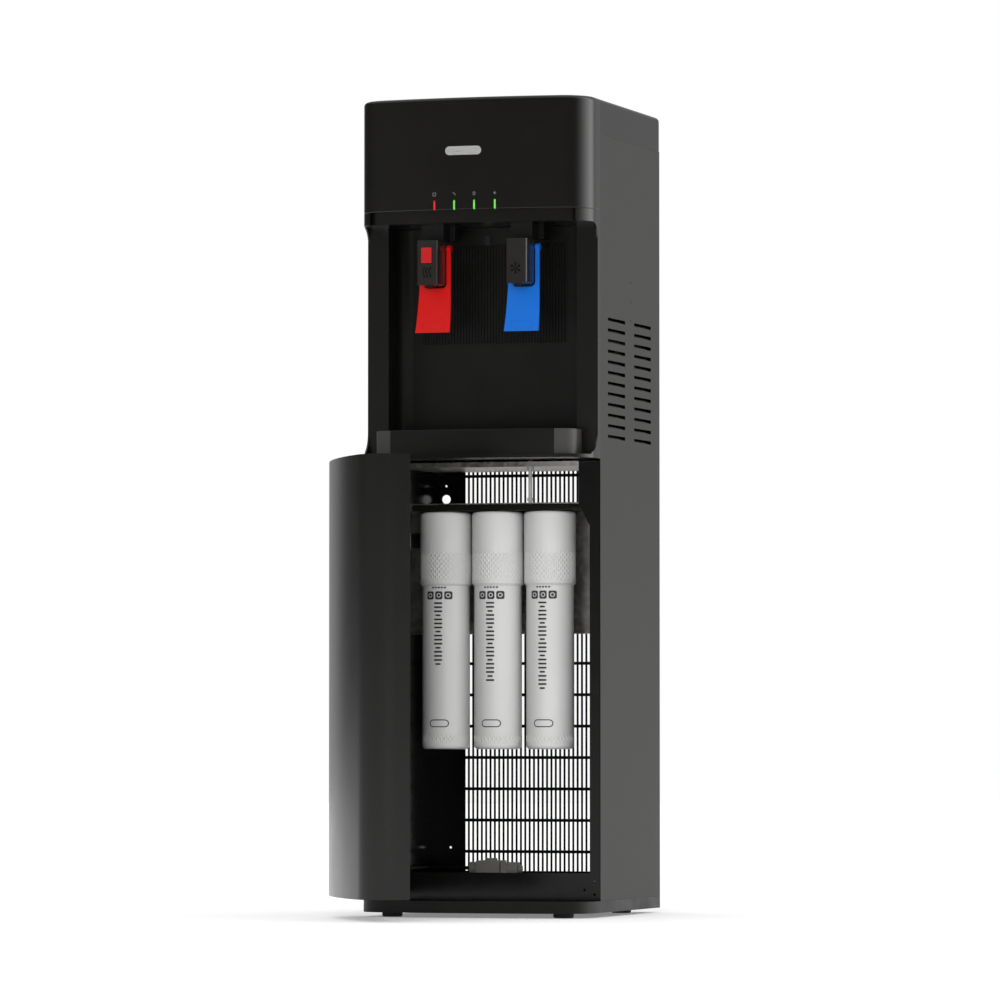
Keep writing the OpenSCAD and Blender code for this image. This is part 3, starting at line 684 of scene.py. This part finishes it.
def status_icons():
    """Tiny printed signs over the lenses: a box, a hook, a bulb and a cross."""
    z = corners("indicator_lights")[1].z / MM + 8
    box, hook, bulb, cross = LED_X
    line, arm = 0.8, 2
    bend = [(-1.8, 1.8), (-0.4, 1.4), (0.6, 0), (1.8, -1.8)]
    marks = ring(rounded(box, z, 4.4, 4.4, 0.6, 1), rounded(box, z, 3.2, 3.2, 0.3, 1))
    marks.append(stroke([(hook + dx, z + dz) for dx, dz in bend], line))
    marks += ring(rounded(bulb, z, 3.2, 4.6, 1.4), rounded(bulb, z, 1.9, 3.2, 0.8))
    marks.append(stroke([(cross - arm, z), (cross + arm, z)], line))
    marks.append(stroke([(cross, z - arm), (cross, z + arm)], line))
    decal("status_signs", "display_housing", marks, "pale_ink")


def heat_waves(x, z):
    """Three upright waves side by side round (x, z)."""
    wave = [(1.3 * math.sin(k * 0.9), 1.45 * k - 9.5) for k in range(10)]
    return [stroke([(x + dx + px, z + pz) for px, pz in wave], 1.3) for dx in (-4.2, 0, 4.2)]


def snow_star(x, z):
    """Six arms round (x, z), each with a fork of two twigs."""
    arm_start, arm_end, fork_at, twig, spread = 1, 7.5, 4.4, 2.4, 0.8

    def out(start, angle, length):
        return start[0] + length * math.cos(angle), start[1] + length * math.sin(angle)

    marks = []
    for k in range(6):
        a = math.pi / 3 * k + math.pi / 6
        marks.append(stroke([out((x, z), a, arm_start), out((x, z), a, arm_end)], 1.0))
        fork = out((x, z), a, fork_at)
        marks += [stroke([fork, out(fork, a + turn, twig)], 0.8) for turn in (-spread, spread)]
    return marks


def tap_signs():
    """Heat waves on the hot tap and a snow star on the cold one."""
    for side, sign in (("hot", heat_waves), ("cold", snow_star)):
        node = f"{side}_tap_body"
        low, _, centre = corners(node)
        marks = sign(centre.x / MM, low.z / MM + 19)
        decal(f"{side}_sign", node, marks, "dark_mark", proud=0.0002)


def lever_frames():
    """A raised rectangle near the foot of each lever."""
    for side in ("hot", "cold"):
        node = f"{side}_lever"
        low, _, centre = corners(node)
        x, z = centre.x / MM, low.z / MM + 9
        marks = ring(rounded(x, z, 30, 10, 1.5), rounded(x, z, 27.6, 7.6, 0.8))
        slot = SLOT_OF[node]
        decal(f"{side}_lever_frame", node, marks, slot, proud=0.0004)


def pan_head(name, spot, facing, radius):
    """Low steel screw head on the cabinet with a cross recess, its axis along facing."""
    sides = 24
    deep = radius * 0.45
    arm, half = radius * 0.62, radius * 0.15
    # Share of the radius and of the height of each ring of the head, from its foot to its face
    dome = ((1.0, 0.0), (1.0, 0.35), (0.93, 0.72), (0.78, 0.95))
    face_height, floor_height, floor_share = 0.95, 0.25, 0.8
    quarter = [(half, half), (half, arm), (-half, arm)]
    cross = []
    for k in range(4):
        c, s = math.cos(math.pi / 2 * k), math.sin(math.pi / 2 * k)
        cross += [(px * c - py * s, px * s + py * c) for px, py in quarter]
    made = bmesh.new()
    loops = []
    for share, height in dome:
        outline = circle(0, 0, radius * share, sides)
        loops.append([made.verts.new((px, py, height * deep)) for px, py in outline])
    for low, high in zip(loops, loops[1:]):
        for i in range(sides):
            k = (i + 1) % sides
            made.faces.new((low[i], low[k], high[k], high[i]))
    rim = [made.verts.new((px, py, deep * face_height)) for px, py in cross]
    foot = [
        made.verts.new((px * floor_share, py * floor_share, deep * floor_height))
        for px, py in cross
    ]
    count = len(cross)
    edges = [made.edges.new((rim[i], rim[(i + 1) % count])) for i in range(count)]
    edges += [made.edges.get((loops[-1][i], loops[-1][(i + 1) % sides])) for i in range(sides)]
    bmesh.ops.triangle_fill(made, edges=edges, use_beauty=True)
    for i in range(count):
        k = (i + 1) % count
        made.faces.new((rim[i], foot[i], foot[k], rim[k]))
    made.faces.new(foot)
    made.faces.new(loops[0][::-1])
    bmesh.ops.recalc_face_normals(made, faces=made.faces)
    obj = smooth(object_of(name, made))
    obj.rotation_euler = Vector(facing).to_track_quat("Z", "Y").to_euler()
    obj.location = spot
    bpy.context.view_layer.update()
    obj.data.transform(obj.matrix_world)
    obj.matrix_world.identity()
    finish(obj, "pin_steel", "cabinet")


def screws():
    """Screws of the filter bracket and the upper back panel."""
    low, high, _ = corners("filter_bracket")
    across, y = 142 * MM, low.y + 73 * MM
    spots = [(side * across, y, high.z - drop * MM) for drop in (70.5, 140.5) for side in (-1, 1)]
    for k, spot in enumerate(spots):
        pan_head(f"bracket_screw_{k + 1}", spot, (0, -1, 0), 4.2 * MM)
    low, high, centre = corners("upper_back_panel")
    inset, above = 7 * MM, 9 * MM
    for row, z in enumerate((low.z + above, centre.z, high.z - above)):
        for side, hand in ((-1, "left"), (1, "right")):
            spot = (side * (high.x - inset), high.y, z)
            pan_head(f"back_screw_{row + 1}_{hand}", spot, (0, 1, 0), 3.6 * MM)


# How far the edges of CAD nodes are rounded, in mm
ROUNDS = {
    0.9: ["door"],
    0.8: ["base_pan", "manifold", "inlet_valve", "foot_front_left", "foot_front_right",
          "foot_rear_left", "foot_rear_right"],
    0.7: ["recess_frame", "child_lock_button"],
    0.6: ["drip_tray", "hot_tap_mount", "cold_tap_mount", "door_magnet"],
    0.5: ["top_cover", "recess_liner", "hot_tap_body", "cold_tap_body", "hot_lever", "cold_lever",
          "power_inlet", "switch_bezel", "hot_switch"],
    0.4: ["drip_grille", "filter_bracket", "water_inlet"],
    0.3: ["front_frame", "divider_shelf", "latch_plate"],
    0.25: ["left_side_panel", "right_side_panel", "upper_back_panel"],
    0.2: ["back_grille"],
    0.15: ["fluted_panel"],
}


def details():
    """The pieces that stand for CAD nodes or are set onto them."""
    display_housing()
    for index in (1, 2, 3):
        cartridge(index)
    filter_labels()
    status_lenses()
    status_icons()
    tap_signs()
    lever_frames()
    screws()


def build():
    """Gives every CAD node its material, makes the details and rounds the nodes' edges."""
    for node, obj in frame["nodes"].items():
        obj.data.materials.clear()
        obj.data.materials.append(MATERIALS[SLOT_OF[node]])
    # The drip tray takes the black with painted highlights at its ends
    frame["nodes"]["drip_tray"].data.materials[0] = MATERIALS["tray_black_painted_highlights"]
    details()
    for width, nodes in ROUNDS.items():
        for node in nodes:
            soften(node, width * MM)


build()


# -------------------------------------------------------------- light and view


def floor():
    """Pale disc that lies under the machine and glows a little, so that its far edge is white."""
    made = bmesh.new()
    bmesh.ops.create_circle(made, cap_ends=True, segments=96, radius=14.0)
    disc = object_of("floor", made)
    shader = Shader("floor", Roughness=0.6)
    shader.colour(shader.ramp(shader.noise(1.5, 3.0), [0.90] * 3, [0.93] * 3))
    shader.surface.inputs["Emission Color"].default_value = (1, 1, 1, 1)
    shader.surface.inputs["Emission Strength"].default_value = 0.22
    disc.data.materials.append(shader.material)


def world():
    """Even white light. What glossy skins mirror is dim in front, with a pale wall behind and soft
    panels to the right, to the left front and overhead."""
    made = bpy.data.worlds.new("studio")
    bpy.context.scene.world = made
    made.use_nodes = True
    tree = made.node_tree
    background = tree.nodes["Background"]
    place = tree.nodes.new("ShaderNodeTexCoord")
    split = tree.nodes.new("ShaderNodeSeparateXYZ")
    tree.links.new(place.outputs["Generated"], split.inputs["Vector"])

    def fade(axis, start, end, strength):
        """Goes from nothing at start to strength at end along one axis of the direction."""
        span = tree.nodes.new("ShaderNodeMapRange")
        span.interpolation_type = "SMOOTHSTEP"
        for socket, value in zip(("From Min", "From Max", "To Max"), (start, end, strength)):
            span.inputs[socket].default_value = value
        tree.links.new(split.outputs[axis], span.inputs["Value"])
        return span.outputs["Result"]

    def combine(operation, first, second):
        """The sum or product of a socket and another socket or number."""
        joined = tree.nodes.new("ShaderNodeMath")
        joined.operation = operation
        tree.links.new(first, joined.inputs[0])
        if isinstance(second, float):
            joined.inputs[1].default_value = second
        else:
            tree.links.new(second, joined.inputs[1])
        return joined.outputs["Value"]

    wall = fade("Y", 0.68, 0.82, 0.44)
    right = combine("MULTIPLY", fade("X", 0.5, 0.85, 1.0), fade("Y", -0.6, 0.55, 3.4))
    left = combine("MULTIPLY", fade("X", 0.0, -0.7, 1.0), fade("Y", 0.1, -0.5, 0.09))
    overhead = fade("Z", 0.35, 0.9, 0.9)
    mirrored = combine("ADD", combine("ADD", wall, right), combine("ADD", left, overhead))
    dimmest = 0.045
    mirrored = combine("ADD", mirrored, dimmest)
    path = tree.nodes.new("ShaderNodeLightPath")
    pick = tree.nodes.new("ShaderNodeMix")
    pick.data_type = "FLOAT"
    tree.links.new(path.outputs["Is Glossy Ray"], pick.inputs["Factor"])
    pick.inputs["A"].default_value = 1.0
    tree.links.new(mirrored, pick.inputs["B"])
    tree.links.new(pick.outputs["Result"], background.inputs["Strength"])
    background.inputs["Color"].default_value = (1, 1, 1, 1)


def area_light(name, place, target, size, power):
    """Soft square light that neither the camera nor a glossy skin sees."""
    data = bpy.data.lights.new(name, "AREA")
    data.shape = "SQUARE"
    data.size = size
    data.energy = power
    light = bpy.data.objects.new(name, data)
    light.location = place
    light.rotation_euler = (Vector(target) - Vector(place)).to_track_quat("-Z", "Y").to_euler()
    light.visible_glossy = False
    light.visible_camera = False
    bpy.context.scene.collection.objects.link(light)


def camera():
    """The photograph's view: low, from the right, through a long lens."""
    data = bpy.data.cameras.new("camera")
    data.lens = 228.94
    data.sensor_width = 36.0
    data.clip_end = 100.0
    upwards, leftwards = math.radians(2.1439), math.radians(17.6983)
    made = bpy.data.objects.new("camera", data)
    made.location = (2.4832, -7.7182, 0.22715)
    made.rotation_euler = (math.pi / 2 + upwards, 0, leftwards)
    bpy.context.scene.collection.objects.link(made)
    bpy.context.scene.camera = made


floor()
world()
area_light("key", (0.9, -4.4, 1.3), (0, 0, 0.4), 1.8, 95)
camera()

bpy.context.scene.view_settings.view_transform = "Standard"
